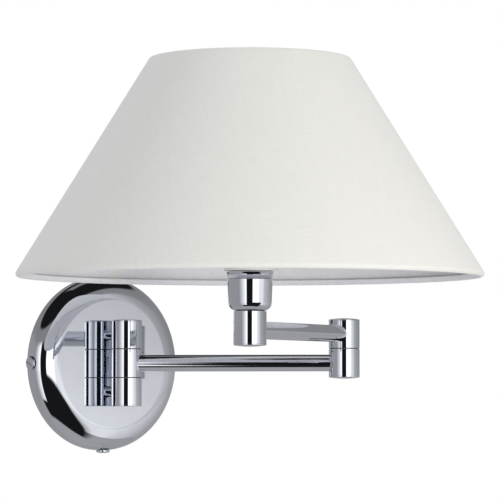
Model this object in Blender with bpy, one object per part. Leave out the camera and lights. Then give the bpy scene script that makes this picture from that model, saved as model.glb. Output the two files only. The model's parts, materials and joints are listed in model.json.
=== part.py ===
"""Swing arm wall lamp: a round wall plate, two tubular arms on two hinge knuckles, a lampholder and a shade.

Metres, +Z up. The wall is the plane y = 0 and the lamp stands out from it towards -Y. The origin is the
centre of the wall bracket's back face. Each moving group hangs from an empty on its own hinge axis.
"""

import math

import bmesh
import bpy
from mathutils import Matrix, Vector

MM = 0.001

# ---- driving dimensions ------------------------------------------------------------------------
GAP = 0.3 * MM  # clearance between neighbouring pieces
FINE_GAP = 0.15 * MM  # clearance at the hairline seams of the knuckles

PLATE_R = 60.5 * MM
PLATE_DEPTH = 17.3 * MM
PLATE_WALL = 1.2 * MM
SHOULDER_RADIAL = 16.5 * MM
SHOULDER_AXIAL = 11.5 * MM
PLATE_FOOT = 0.5 * MM  # the rim stops this far short of the wall
BRACKET_T = 2.0 * MM
BRACKET_R = 56.0 * MM

STANDOFF = 33.6 * MM  # wall to the first hinge axis
KNUCKLE_R = 10.6 * MM
KNUCKLE_BORE_R = 5.3 * MM
PITCH = 19.8 * MM  # height of one knuckle section, seam to seam
SEAM = 0.8 * MM
CAP_RIM = 0.95 * MM
CAP_CROWN = 0.9 * MM
PIVOT_R = 5.0 * MM
PIVOT_BORE_R = 3.75 * MM

ARM_LENGTH = 151.5 * MM  # hinge axis to hinge axis, both arms
ARM_R = 5.75 * MM
ARM_BORE_R = 4.25 * MM
ARM_SOCKET_R = ARM_R + GAP
ARM_INSET = 6.2 * MM  # a tube's end stops this far from the axis
ARM_1_ANGLE = 46.0  # degrees from the wall, at rest
ELBOW_FOLD = 107.1  # degrees that arm 2 is folded back from straight, at rest

NECK_BOTTOM = 9.9 * MM
NECK_TOP = 31.6 * MM
CUP_R = 14.5 * MM
CUP_FOOT_R = 13.95 * MM  # the wall narrows downwards to this
CUP_BOTTOM = NECK_TOP + GAP
CUP_TOP = 52.2 * MM
CUP_ROUND = 5.5 * MM
CUP_WALL = 1.0 * MM
COLLAR_TOP = 57.0 * MM

SHADE_BOTTOM_R = 147.85 * MM  # to the centre of the bottom wire
SHADE_BOTTOM_Z = 55.5 * MM
SHADE_TOP_R = 63.4 * MM
SHADE_TOP_Z = 192.3 * MM
SHADE_T = 0.8 * MM
BOTTOM_WIRE_R = 1.1 * MM
TOP_WIRE_R = 1.0 * MM
WIRE_GAP = 0.25 * MM

LEAD_R = 1.7 * MM
SHADE_STEPS = 48
PLATE_STEPS = 48
KNUCKLE_STEPS = 28
SMALL_STEPS = 18
ARM_STEPS = 32
PIVOT_STEPS = 32


# ---- materials ---------------------------------------------------------------------------------
def material(name, colour, roughness, metallic):
    made = bpy.data.materials.new(name)
    made.use_nodes = True
    shader = made.node_tree.nodes["Principled BSDF"]
    shader.inputs["Base Color"].default_value = (*colour, 1.0)
    shader.inputs["Roughness"].default_value = roughness
    shader.inputs["Metallic"].default_value = metallic
    made.diffuse_color = (*colour, 1.0)
    return made


FINISHES = {
    "chrome": ((0.78, 0.79, 0.81), 0.06, 1.0),
    "zinc": ((0.62, 0.63, 0.62), 0.38, 1.0),
    "brass": ((0.80, 0.62, 0.30), 0.28, 1.0),
    "fabric": ((0.84, 0.84, 0.81), 0.90, 0.0),
    "white_wire": ((0.80, 0.80, 0.78), 0.45, 0.0),
    "porcelain": ((0.86, 0.85, 0.81), 0.30, 0.0),
    "nylon": ((0.12, 0.12, 0.13), 0.50, 0.0),
    "rubber": ((0.06, 0.06, 0.06), 0.75, 0.0),
    "opal_glass": ((0.92, 0.92, 0.90), 0.20, 0.0),
    "pvc": ((0.78, 0.78, 0.76), 0.55, 0.0),
}


# ---- building blocks ---------------------------------------------------------------------------
def add_object(name, mesh, parent, finish):
    made = bpy.data.objects.new(name, mesh)
    bpy.context.scene.collection.objects.link(made)
    made.parent = parent
    if finish:
        made.data.materials.append(material(name, *FINISHES[finish]))
    return made


def add_empty(name, parent, location, turn_deg=0.0):
    made = bpy.data.objects.new(name, None)
    bpy.context.scene.collection.objects.link(made)
    made.parent = parent
    made.location = location
    made.rotation_euler = (0.0, 0.0, math.radians(turn_deg))
    return made


def finish_mesh(mesh_builder, name, smooth=True):
    bmesh.ops.recalc_face_normals(mesh_builder, faces=mesh_builder.faces)
    mesh = bpy.data.meshes.new(name)
    mesh_builder.to_mesh(mesh)
    mesh_builder.free()
    if smooth:
        mesh.shade_smooth()
        mesh.set_sharp_from_angle(angle=math.radians(35))
    return mesh


def turned_mesh(name, profile, steps):
    """Turns a closed outline of (radius, height) points about the local Z axis. Radius 0 is a pole."""
    builder = bmesh.new()
    rings = []
    for radius, height in profile:
        if radius == 0.0:
            rings.append([builder.verts.new((0.0, 0.0, height))])
            continue
        turns = [2 * math.pi * k / steps for k in range(steps)]
        rings.append([builder.verts.new((radius * math.cos(t), radius * math.sin(t), height)) for t in turns])
    for low, high in zip(rings, rings[1:] + rings[:1]):
        for k in range(steps):
            first, second = low[k % len(low)], low[(k + 1) % len(low)]
            third, fourth = high[(k + 1) % len(high)], high[k % len(high)]
            corners = list(dict.fromkeys((first, second, third, fourth)))
            if len(corners) > 2:
                builder.faces.new(corners)
    return finish_mesh(builder, name)


def turned(name, profile, parent, finish, location=(0, 0, 0), rotation=(0, 0, 0), steps=KNUCKLE_STEPS):
    made = add_object(name, turned_mesh(name, profile, steps), parent, finish)
    made.location = location
    made.rotation_euler = rotation
    return made


def disc_profile(radius, low, high):
    return [(0.0, low), (radius, low), (radius, high), (0.0, high)]


def ring_profile(inner, outer, low, high):
    return [(inner, low), (outer, low), (outer, high), (inner, high)]


def arc(centre, radius, start_deg, end_deg, count, squash=1.0):
    """Points along an arc in the (radius, height) plane; squash scales its height."""
    turns = [math.radians(start_deg + (end_deg - start_deg) * k / (count - 1)) for k in range(count)]
    return [(centre[0] + radius * math.cos(t), centre[1] + squash * radius * math.sin(t)) for t in turns]


def prism_mesh(name, outline, low, high):
    """Extrudes an outline of (x, y) points from low to high along Z."""
    builder = bmesh.new()
    base = builder.faces.new([builder.verts.new((x, y, low)) for x, y in outline])
    grown = bmesh.ops.extrude_face_region(builder, geom=[base])
    moved = [item for item in grown["geom"] if isinstance(item, bmesh.types.BMVert)]
    bmesh.ops.translate(builder, verts=moved, vec=(0.0, 0.0, high - low))
    return finish_mesh(builder, name, smooth=False)


def box_outline(half_x, half_y):
    return [(-half_x, -half_y), (half_x, -half_y), (half_x, half_y), (-half_x, half_y)]


def hexagon(across_flats):
    corner = across_flats / math.sqrt(3)
    return [(corner * math.cos(math.pi * k / 3), corner * math.sin(math.pi * k / 3)) for k in range(6)]


def slot_outline(half_length, radius, steps=7):
    """A stadium along X: two half circles whose centres are half_length - radius from the middle."""
    reach = half_length - radius
    points = []
    for side, start in ((1, -90), (-1, 90)):
        for k in range(steps + 1):
            t = math.radians(start + 180 * k / steps)
            points.append((side * reach + radius * math.cos(t), radius * math.sin(t)))
    return points


def wedge_outline(middle_deg, half_deg, reach):
    """A fan from the axis that opens half_deg to each side of middle_deg."""
    count = 9
    points = [(0.0, 0.0)]
    for k in range(count):
        t = math.radians(middle_deg - half_deg + 2 * half_deg * k / (count - 1))
        points.append((reach * math.cos(t), reach * math.sin(t)))
    return points


def cutter(name, mesh, parent, location=(0, 0, 0), rotation=(0, 0, 0)):
    made = add_object(name, mesh, parent, None)
    made.location = location
    made.rotation_euler = rotation
    made.hide_render = True
    made.display_type = "WIRE"
    return made


def combine(target, other, operation):
    step = target.modifiers.new(f"{operation.lower()}_{other.name}", "BOOLEAN")
    step.operation = operation
    step.object = other
    step.solver = "EXACT"


OFF_EDGE = Matrix.Rotation(math.radians(4.0), 4, "Z")  # keeps a hole's corners off the target's own edges


def drill(target, name, radius, low, high, location=(0, 0, 0), rotation=(0, 0, 0), steps=SMALL_STEPS):
    mesh = turned_mesh(name, disc_profile(radius, low, high), steps)
    mesh.transform(OFF_EDGE)
    combine(target, cutter(name, mesh, target.parent, location, rotation), "DIFFERENCE")


ALONG_X = (0.0, math.pi / 2, 0.0)  # turns local +Z to +X
ALONG_MINUS_X = (0.0, -math.pi / 2, 0.0)
ALONG_MINUS_Y = (math.pi / 2, 0.0, 0.0)  # turns local +Z to -Y, away from the wall
ALONG_PLUS_Y = (-math.pi / 2, 0.0, 0.0)


def flex_lead(name, parent, points, finish="pvc"):
    """A round lead on a smooth curve through its points, kept as a POLY spline."""
    route = [Vector(point) for point in points]
    smooth = []
    for k in range(len(route) - 1):
        before = route[max(k - 1, 0)]
        after = route[min(k + 2, len(route) - 1)]
        for step in range(2):
            t = step / 2
            a, b = route[k], route[k + 1]
            smooth.append(
                0.5
                * (
                    2 * a
                    + (b - before) * t
                    + (2 * before - 5 * a + 4 * b - after) * t * t
                    + (3 * a - before - 3 * b + after) * t * t * t
                )
            )
    smooth.append(route[-1])
    curve = bpy.data.curves.new(name, "CURVE")
    curve.dimensions = "3D"
    spline = curve.splines.new("POLY")
    spline.points.add(len(smooth) - 1)
    for point, place in zip(spline.points, smooth):
        point.co = (*place, 1.0)
    curve.bevel_depth = LEAD_R
    curve.bevel_resolution = 1
    curve.use_fill_caps = True
    return add_object(name, curve, parent, finish)


# ---- wall plate --------------------------------------------------------------------------------
SCREW_Y = 5.4 * MM  # side screws' distance from the wall
SCREW_SHANK_R = 2.0 * MM
SCREW_HEAD_R = 4.9 * MM
SCREW_HEAD_H = 1.8 * MM
LUG_RADIAL = (52.5 * MM, 55.5 * MM)
LUG_HALF_WIDTH = 7.0 * MM
LUG_HEIGHT = 10.5 * MM
FIXING_X = 36.0 * MM
FIXING_HALF = 7.0 * MM
FIXING_R = 2.6 * MM
PAD_MARGIN = 4.0 * MM  # width of the raised seat round a fixing slot
PAD_RISE = 0.8 * MM
BRACKET_STEPS = 48
HOLE_STEPS = 16
CABLE_Z = -33.0 * MM
CABLE_HOLE_R = 8.0 * MM
STEM_R = 4.0 * MM
STEM_BORE_R = 2.5 * MM
STEM_REAR = 9.6 * MM
BLOCK_HALF_X = 13.0 * MM
BLOCK_HALF_Z = 6.0 * MM
BLOCK_DEPTH = 10.0 * MM
TERMINAL_PITCH = 8.0 * MM
TERMINAL_R = 2.0 * MM
TERMINAL_DEPTH = 6.0 * MM
TERMINAL_STEPS = 12
EARTH_PLACE = (22 * MM, 0, 26 * MM)
EARTH_SHANK_R = 2.0 * MM
EARTH_HEAD_R = 4.0 * MM
EARTH_HEAD_H = 2.2 * MM
GROMMET_BORE_R = 4.5 * MM
GROMMET_FLANGE_R = 9.8 * MM
GROMMET_FLANGE_H = 1.5 * MM
SCREW_TIP = 50.0 * MM  # side screws' inner ends, from the plate's axis
SCREW_SLOT_DEPTH = 0.8 * MM
SCREW_SLOT_HALF = 0.55 * MM
SCREW_STOP_DEG = (32, 49, 66, 83)  # where each screw's slot came to rest
SCREW_STEPS = 20
STEM_WASHER_R = 8.5 * MM
STEM_WASHER_T = 1.0 * MM
NUT_FLATS = 13.0 * MM
STEM_NUT_H = 4.8 * MM
OVERCUT = 1.0 * MM  # a cutter passes this far beyond the surfaces it opens


def side_screw_frame(k):
    """Frame of side screw k: its +Z runs outwards along the screw's axis."""
    turn = Matrix.Rotation(math.radians(90 * k), 4, "Y")
    return turn @ Matrix.Translation((0.0, -SCREW_Y, 0.0)) @ Matrix.Rotation(math.pi / 2, 4, "Y")


def wall_bracket(parent):
    """Pressed steel disc on the wall: four tapped lugs hold the plate, two raised pads the wall screws."""
    disc = disc_profile(BRACKET_R, 0.0, BRACKET_T)
    bracket = turned("wall_bracket", disc, parent, "zinc", rotation=ALONG_MINUS_Y, steps=BRACKET_STEPS)
    lug_middle = sum(LUG_RADIAL) / 2
    lug_half = (LUG_RADIAL[1] - LUG_RADIAL[0]) / 2
    for k in range(4):
        outline = box_outline(lug_half, LUG_HALF_WIDTH)
        lug = prism_mesh(f"lug_{k}", outline, BRACKET_T / 2, LUG_HEIGHT)
        turn = Matrix.Rotation(math.radians(90 * k), 4, "Y")
        piece = cutter(f"lug_solid_{k}", lug, parent)
        stand = Matrix.Translation((lug_middle, 0.0, 0.0)) @ Matrix.Rotation(math.pi / 2, 4, "X")
        piece.matrix_local = turn @ stand
        combine(bracket, piece, "UNION")
    for k in range(4):
        reach = disc_profile(SCREW_SHANK_R + GAP, LUG_RADIAL[0] - 4 * OVERCUT, LUG_RADIAL[1] + 2 * OVERCUT)
        hole = turned_mesh(f"lug_tapping_{k}", reach, HOLE_STEPS)
        piece = cutter(f"lug_tapping_{k}", hole, parent)
        piece.matrix_local = side_screw_frame(k) @ OFF_EDGE
        combine(bracket, piece, "DIFFERENCE")
    pad_top = BRACKET_T + PAD_RISE
    for side in (-1, 1):
        place = (side * FIXING_X, 0, 0)
        outline = slot_outline(FIXING_HALF + PAD_MARGIN, FIXING_R + PAD_MARGIN)
        pad = prism_mesh(f"fixing_pad_{side}", outline, BRACKET_T / 2, pad_top)
        combine(bracket, cutter(f"fixing_pad_{side}", pad, parent, place, ALONG_MINUS_Y), "UNION")
        outline = slot_outline(FIXING_HALF, FIXING_R)
        slot = prism_mesh(f"fixing_slot_{side}", outline, -OVERCUT, pad_top + OVERCUT)
        combine(bracket, cutter(f"fixing_slot_{side}", slot, parent, place, ALONG_MINUS_Y), "DIFFERENCE")
    top = BRACKET_T + OVERCUT
    drill(bracket, "cable_hole", CABLE_HOLE_R, -OVERCUT, top, (0, 0, CABLE_Z), ALONG_MINUS_Y)
    tapping = EARTH_SHANK_R + GAP
    drill(bracket, "earth_tapping", tapping, -OVERCUT, top, EARTH_PLACE, ALONG_MINUS_Y, HOLE_STEPS)
    return bracket


PLATE_BOSS_R = 9.0 * MM  # a ring inside the stem holes keeps the face's triangles well shaped
STEM_LABELS = (("lower", -PITCH), ("upper", PITCH))


def plate_profile():
    """The pan's section as (radius, distance from the wall): side wall, oval shoulder, flat face."""
    centre = (PLATE_R - SHOULDER_RADIAL, PLATE_DEPTH - SHOULDER_AXIAL)
    outer = arc(centre, SHOULDER_RADIAL, 0, 90, 8, SHOULDER_AXIAL / SHOULDER_RADIAL)
    inner_radial = SHOULDER_RADIAL - PLATE_WALL
    inner_axial = SHOULDER_AXIAL - PLATE_WALL
    inner = arc(centre, inner_radial, 90, 0, 6, inner_axial / inner_radial)
    rim = [(PLATE_R - PLATE_WALL, PLATE_FOOT), (PLATE_R, PLATE_FOOT)]
    back = PLATE_DEPTH - PLATE_WALL
    face = [(PLATE_BOSS_R, PLATE_DEPTH), (0.0, PLATE_DEPTH), (0.0, back), (PLATE_BOSS_R, back)]
    return rim + outer + face + inner


def backplate(parent):
    profile = plate_profile()
    plate = turned("backplate", profile, parent, "chrome", rotation=ALONG_MINUS_Y, steps=PLATE_STEPS)
    back = PLATE_DEPTH - PLATE_WALL
    for label, level in STEM_LABELS:
        place = (0, 0, level)
        low, high = back - OVERCUT, PLATE_DEPTH + OVERCUT
        drill(plate, f"stem_hole_{label}", STEM_R + GAP, low, high, place, ALONG_MINUS_Y)
    for k in range(4):
        reach = disc_profile(SCREW_SHANK_R + GAP, PLATE_R - PLATE_WALL - 2 * OVERCUT, PLATE_R + 2 * OVERCUT)
        hole = turned_mesh(f"side_hole_{k}", reach, HOLE_STEPS)
        piece = cutter(f"side_hole_{k}", hole, parent)
        piece.matrix_local = side_screw_frame(k) @ OFF_EDGE
        combine(plate, piece, "DIFFERENCE")
    return plate


SCREW_DOME = ((1.0, 0.2), (0.88, 0.58), (0.55, 0.88), (0.0, 1.0))  # shares of the head's radius and height


def side_screws(parent):
    """Four slotted screws with low domed heads, driven inwards through the plate's side into the lugs."""
    seat = PLATE_R + GAP
    dome = [(across * SCREW_HEAD_R, seat + rise * SCREW_HEAD_H) for across, rise in SCREW_DOME]
    shank = [(0.0, SCREW_TIP), (SCREW_SHANK_R, SCREW_TIP), (SCREW_SHANK_R, seat), (SCREW_HEAD_R, seat)]
    slot_floor = seat + SCREW_HEAD_H - SCREW_SLOT_DEPTH
    for k, place in enumerate(("right", "bottom", "left", "top")):
        frame = side_screw_frame(k)
        screw = turned(f"side_screw_{place}", shank + dome, parent, "chrome", steps=SCREW_STEPS)
        screw.matrix_local = frame
        outline = box_outline(SCREW_SLOT_HALF, SCREW_HEAD_R + OVERCUT)
        groove = prism_mesh(f"screw_groove_{place}", outline, slot_floor, slot_floor + 2 * OVERCUT)
        piece = cutter(f"screw_groove_{place}", groove, parent)
        piece.matrix_local = frame @ Matrix.Rotation(math.radians(SCREW_STOP_DEG[k]), 4, "Z")
        combine(screw, piece, "DIFFERENCE")


def stems(parent):
    """Two hollow threaded stems carry the fixed knuckle sections; a washer and a nut clamp each one."""
    washer_high = PLATE_DEPTH - PLATE_WALL - GAP
    washer_low = washer_high - STEM_WASHER_T
    nut_high = washer_low - GAP
    front = STANDOFF - KNUCKLE_BORE_R - GAP
    tube = ring_profile(STEM_BORE_R, STEM_R, STEM_REAR, front)
    ring = ring_profile(STEM_R + GAP, STEM_WASHER_R, washer_low, washer_high)
    for label, level in STEM_LABELS:
        place = (0, 0, level)
        turned(f"stem_{label}", tube, parent, "chrome", place, ALONG_MINUS_Y, SMALL_STEPS)
        turned(f"stem_washer_{label}", ring, parent, "zinc", place, ALONG_MINUS_Y, SMALL_STEPS)
        body = prism_mesh(f"stem_nut_{label}", hexagon(NUT_FLATS), nut_high - STEM_NUT_H, nut_high)
        nut = add_object(f"stem_nut_{label}", body, parent, "brass")
        nut.location = place
        nut.rotation_euler = ALONG_MINUS_Y
        low, high = nut_high - STEM_NUT_H - OVERCUT, nut_high + OVERCUT
        drill(nut, f"nut_bore_{label}", STEM_R + GAP, low, high, place, ALONG_MINUS_Y)


def plate_fittings(parent):
    """What is behind the plate: connector block, earth screw, cable grommet and the first lead."""
    front = BRACKET_T + GAP
    block_top = front + BLOCK_DEPTH
    body = prism_mesh("terminal_block", box_outline(BLOCK_HALF_X, BLOCK_HALF_Z), front, block_top)
    block = add_object("terminal_block", body, parent, "porcelain")
    block.rotation_euler = ALONG_MINUS_Y
    floor = block_top - TERMINAL_DEPTH
    for k in (-1, 0, 1):
        place = (k * TERMINAL_PITCH, 0, 0)
        top = block_top + OVERCUT
        drill(block, f"terminal_{k + 1}", TERMINAL_R, floor, top, place, ALONG_MINUS_Y, TERMINAL_STEPS)
    head = front + EARTH_HEAD_H
    earth = [
        (0.0, 0.2 * MM),
        (EARTH_SHANK_R, 0.2 * MM),
        (EARTH_SHANK_R, front),
        (EARTH_HEAD_R, front),
        (EARTH_HEAD_R, head - 0.8 * MM),
        (EARTH_HEAD_R - 0.8 * MM, head),
        (0.0, head),
    ]
    turned("earth_screw", earth, parent, "brass", EARTH_PLACE, ALONG_MINUS_Y, HOLE_STEPS)
    body = CABLE_HOLE_R - GAP
    flange = front + GROMMET_FLANGE_H
    grommet = [
        (GROMMET_BORE_R, GAP),
        (body, GAP),
        (body, front),
        (GROMMET_FLANGE_R, front),
        (GROMMET_FLANGE_R - 0.6 * MM, flange),
        (GROMMET_BORE_R, flange),
    ]
    turned("cable_grommet", grommet, parent, "rubber", (0, 0, CABLE_Z), ALONG_MINUS_Y, SMALL_STEPS)
    low = -PITCH
    flex_lead(
        "lead_wall",
        parent,
        [
            (0, -6.0 * MM, -BLOCK_HALF_Z - GAP),
            (0, -5.7 * MM, -9.5 * MM),
            (0, -5.2 * MM, low + 6 * MM),
            (0, -6.2 * MM, low + 1.5 * MM),
            (0, -9.8 * MM, low),
            (0, -17 * MM, low),
            (0, -24 * MM, low),
            (0, -29.5 * MM, low + 0.2 * MM),
            (0, -33.0 * MM, low + 3 * MM),
            (0, -33.6 * MM, low + 8 * MM),
        ],
    )


# ---- knuckles ----------------------------------------------------------------------------------
def section(name, parent, low, high):
    """One knuckle section: a turned body with an axial bore."""
    return turned(name, ring_profile(KNUCKLE_BORE_R, KNUCKLE_R, low, high), parent, "chrome")


def cap(name, parent, level, upward):
    """Crowned end cap whose spigot screws into the hollow pivot. level is the section's end face."""
    seat = level + FINE_GAP
    rim = seat + CAP_RIM
    spigot = PIVOT_BORE_R - GAP
    profile = [
        (0.0, level - SPIGOT_DEPTH),
        (spigot, level - SPIGOT_DEPTH),
        (spigot, seat),
        (KNUCKLE_R, seat),
        (KNUCKLE_R, rim),
        (CROWN_BEND[0] * KNUCKLE_R, rim + CROWN_BEND[1] * CAP_CROWN),
        (0.0, rim + CAP_CROWN),
    ]
    return turned(name, profile, parent, "chrome", rotation=(0.0 if upward else math.pi, 0.0, 0.0))


def pivot_tube(name, parent, low, high, windows):
    """Hollow pivot. Each window is (middle angle, half width, low, high) cut for the lead."""
    tube = turned(name, ring_profile(PIVOT_BORE_R, PIVOT_R, low, high), parent, "zinc", steps=PIVOT_STEPS)
    for k, (middle, half, start, end) in enumerate(windows):
        mesh = prism_mesh(f"{name}_window_{k}", wedge_outline(middle, half, 9 * MM), start, end)
        combine(tube, cutter(f"{name}_window_{k}", mesh, parent), "DIFFERENCE")
    return tube


def washer(name, parent, middle):
    half = SEAM / 2 - FINE_GAP
    ring = ring_profile(KNUCKLE_BORE_R + 0.2 * MM, KNUCKLE_R - 0.5 * MM, middle - half, middle + half)
    turned(name, ring, parent, "nylon")


END_INSET = CAP_RIM + FINE_GAP  # a section's end face below the cap's edge
SOCKET_REACH = 14 * MM
PIVOT_INSET = 0.8 * MM  # a pivot's ends stay this far inside the end sections
WINDOW_HALF = 4.5 * MM  # half height of a pivot's lead window
SPIGOT_DEPTH = 5.0 * MM
CROWN_BEND = (0.75, 0.70)  # shares of the radius and of the crown's rise


def wall_knuckle(base, swing):
    outer = 1.5 * PITCH - END_INSET
    seam = PITCH / 2
    top = section("wall_knuckle_top", base, seam + SEAM / 2, outer)
    bottom = section("wall_knuckle_bottom", base, -outer, -seam - SEAM / 2)
    for piece, level in ((top, PITCH), (bottom, -PITCH)):
        place = (0, 0, level)
        drill(piece, f"{piece.name}_stem_socket", STEM_R + GAP, 0.0, SOCKET_REACH, place, ALONG_PLUS_Y)
    middle = section("wall_knuckle_middle", swing, -seam + SEAM / 2, seam - SEAM / 2)
    drill(middle, "arm_1_wall_socket", ARM_SOCKET_R, 0.0, SOCKET_REACH, rotation=ALONG_X)
    cap("wall_knuckle_cap_top", base, outer, True)
    cap("wall_knuckle_cap_bottom", base, outer, False)
    half = outer - PIVOT_INSET
    arm_window = (-45.0, 85.0, -WINDOW_HALF, WINDOW_HALF)
    stem_window = (90.0, 42.0, -PITCH - WINDOW_HALF, -PITCH + WINDOW_HALF)
    windows = [arm_window, stem_window]
    pivot_tube("wall_pivot_tube", base, -half, half, windows)
    washer("wall_washer_lower", base, -seam)
    washer("wall_washer_upper", base, seam)


def elbow_knuckle(swing, forearm):
    """The lower section belongs to arm 1 and the upper one to arm 2; both empties lie on the elbow's axis."""
    elbow = (ARM_LENGTH, 0, 0)
    seam = PITCH / 2
    outer = PITCH / 2 - END_INSET
    holder = add_empty("elbow_seat", swing, elbow)
    lower = section("elbow_lower", holder, -outer, seam - SEAM / 2)
    drill(lower, "arm_1_elbow_socket", ARM_SOCKET_R, 0.0, SOCKET_REACH, rotation=ALONG_MINUS_X)
    upper = section("elbow_upper", forearm, seam + SEAM / 2, PITCH + outer)
    drill(upper, "arm_2_elbow_socket", ARM_SOCKET_R, 0.0, SOCKET_REACH, (0, 0, PITCH), ALONG_X)
    cap("elbow_cap_bottom", holder, outer, False)
    cap("elbow_cap_top", forearm, PITCH + outer, True)
    lower_window = (180.0, 40.0, -WINDOW_HALF, WINDOW_HALF)
    upper_window = (-11.5, 138.0, PITCH - WINDOW_HALF, PITCH + 4.0 * MM)
    windows = [lower_window, upper_window]
    pivot_tube("elbow_pivot_tube", holder, PIVOT_INSET - outer, PITCH + outer - PIVOT_INSET, windows)
    washer("elbow_washer", holder, seam)


def arm_tube(name, parent, level):
    turned(
        name,
        ring_profile(ARM_BORE_R, ARM_R, ARM_INSET, ARM_LENGTH - ARM_INSET),
        parent,
        "chrome",
        (0, 0, level),
        ALONG_X,
        ARM_STEPS,
    )


def straight_run(level, count=9):
    """Evenly spaced points along a tube's axis, clear of the bends at its two ends."""
    first = 8 * MM
    step = (ARM_LENGTH - 2 * first) / (count - 1)
    return [(first + k * step, 0, level) for k in range(count)]


def arm_leads(swing, forearm):
    """The leads run in the tubes and turn into the hollow pivots, where they can twist."""
    far = ARM_LENGTH
    flex_lead(
        "lead_arm_1",
        swing,
        [
            (0, 0, -8.0 * MM),
            (0.3 * MM, 0, -4.0 * MM),
            (3.2 * MM, 0, -0.6 * MM),
            *straight_run(0),
            (far - 3.2 * MM, 0, 0.6 * MM),
            (far - 0.3 * MM, 0, 4.0 * MM),
            (far, 0, 9.0 * MM),
        ],
    )
    flex_lead(
        "lead_arm_2",
        forearm,
        [
            (0, 0, PITCH - 8.5 * MM),
            (0.3 * MM, 0, PITCH - 4.0 * MM),
            (3.2 * MM, 0, PITCH - 0.6 * MM),
            *straight_run(PITCH),
            (far - 3.2 * MM, 0, PITCH + 0.6 * MM),
            (far - 0.3 * MM, 0, PITCH + 4.5 * MM),
            (far, 0, PITCH + 12.0 * MM),
            (far, 0, PITCH + 20.0 * MM),
            (far, 0, 43.5 * MM),
        ],
    )


NIPPLE_BORE_R = 3.5 * MM
NIPPLE_LOW = 26.8 * MM
NIPPLE_TOP = 43.0 * MM
PLUG_DEPTH = 3.2 * MM
CUP_NUT_H = 3.5 * MM
COLLAR_DEPTH = 4.0 * MM  # how far the collar's spigot reaches into the cup
COLLAR_WALL = 0.8 * MM


# ---- lamp head ---------------------------------------------------------------------------------
def neck(head):
    low = NECK_BOTTOM + END_INSET
    body = section("neck", head, low, NECK_TOP)
    drill(body, "arm_2_neck_socket", ARM_SOCKET_R, 0.0, SOCKET_REACH, (0, 0, PITCH), ALONG_MINUS_X)
    plug = [
        (0.0, low + PLUG_DEPTH),
        (KNUCKLE_BORE_R - GAP, low + PLUG_DEPTH),
        (KNUCKLE_BORE_R - GAP, low - FINE_GAP),
        (KNUCKLE_R, low - FINE_GAP),
        (KNUCKLE_R, NECK_BOTTOM),
        (CROWN_BEND[0] * KNUCKLE_R, NECK_BOTTOM - CROWN_BEND[1] * CAP_CROWN),
        (0.0, NECK_BOTTOM - CAP_CROWN),
    ]
    turned("neck_cap", plug, head, "chrome")
    nipple = ring_profile(NIPPLE_BORE_R, PIVOT_R, NIPPLE_LOW, NIPPLE_TOP)
    turned("neck_nipple", nipple, head, "brass", steps=SMALL_STEPS)


def cup(head):
    """Chrome cup with a rounded bottom, its collar, and the lock nut that clamps it to the neck."""
    centre = (CUP_FOOT_R - CUP_ROUND, CUP_BOTTOM + CUP_ROUND)
    outer = arc(centre, CUP_ROUND, -90, 0, 5)
    inner = arc(centre, CUP_ROUND - CUP_WALL, 0, -90, 3)
    floor = CUP_BOTTOM + CUP_WALL
    hole = PIVOT_R + GAP
    lip = [(CUP_R, CUP_TOP), (CUP_R - CUP_WALL, CUP_TOP)]
    profile = [(hole, floor), (hole, CUP_BOTTOM), *outer, *lip, *inner]
    turned("socket_cup", profile, head, "chrome")
    nut_low = floor + GAP
    nut_high = nut_low + CUP_NUT_H
    nut = add_object("cup_nut", prism_mesh("cup_nut", hexagon(NUT_FLATS), nut_low, nut_high), head, "brass")
    drill(nut, "cup_nut_bore", hole, nut_low - OVERCUT, nut_high + OVERCUT)
    seat = CUP_TOP + GAP
    inside = CUP_R - CUP_WALL - GAP
    collar = [
        (inside - COLLAR_WALL, CUP_TOP - COLLAR_DEPTH),
        (inside, CUP_TOP - COLLAR_DEPTH),
        (inside, seat),
        (CUP_R, seat),
        (CUP_R, seat + 2.6 * MM),
        (CUP_R + 0.4 * MM, seat + 3.6 * MM),
        (CUP_R + 0.8 * MM, COLLAR_TOP),
        (inside - COLLAR_WALL, COLLAR_TOP),
    ]
    turned("cup_collar", collar, head, "chrome")


HOLDER_BASE_R = 11.6 * MM
HOLDER_SLEEVE_R = 13.6 * MM
HOLDER_WELL_R = 9.2 * MM
HOLDER_TOP = 79.0 * MM
HOLDER_BORE_R = 2.6 * MM
HOLDER_LOW = 43.3 * MM
HOLDER_FLOOR = 49.0 * MM
HOLDER_BEVEL = 0.6 * MM
SHELL_R = (8.0 * MM, 8.8 * MM)
SHELL_Z = (53.0 * MM, 77.0 * MM)


def lampholder(head):
    """Small screw-base lampholder: porcelain body, brass screw shell and a sprung centre contact."""
    low = HOLDER_LOW
    floor = HOLDER_FLOOR
    flange = COLLAR_TOP + GAP
    profile = [
        (HOLDER_BORE_R, low),
        (HOLDER_BASE_R, low),
        (HOLDER_BASE_R, flange),
        (HOLDER_SLEEVE_R, flange),
        (HOLDER_SLEEVE_R, HOLDER_TOP - HOLDER_BEVEL),
        (HOLDER_SLEEVE_R - HOLDER_BEVEL, HOLDER_TOP),
        (HOLDER_WELL_R, HOLDER_TOP),
        (HOLDER_WELL_R, floor),
        (HOLDER_BORE_R, floor),
    ]
    turned("lampholder_body", profile, head, "porcelain")
    turned("lampholder_shell", ring_profile(*SHELL_R, *SHELL_Z), head, "brass", steps=SMALL_STEPS)
    strip = prism_mesh("lampholder_contact", box_outline(6.5 * MM, 2 * MM), floor + GAP, floor + 1.0 * MM)
    add_object("lampholder_contact", strip, head, "brass")


BULB_CAP_R = 6.9 * MM
BULB_SEAT = 79.6 * MM
BULB_R = 17.5 * MM
BULB_TOP = 155.0 * MM
BULB_NECK_R = 7.2 * MM
BULB_BELLY = 30.0 * MM  # height of the widest place above the glass's foot


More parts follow.
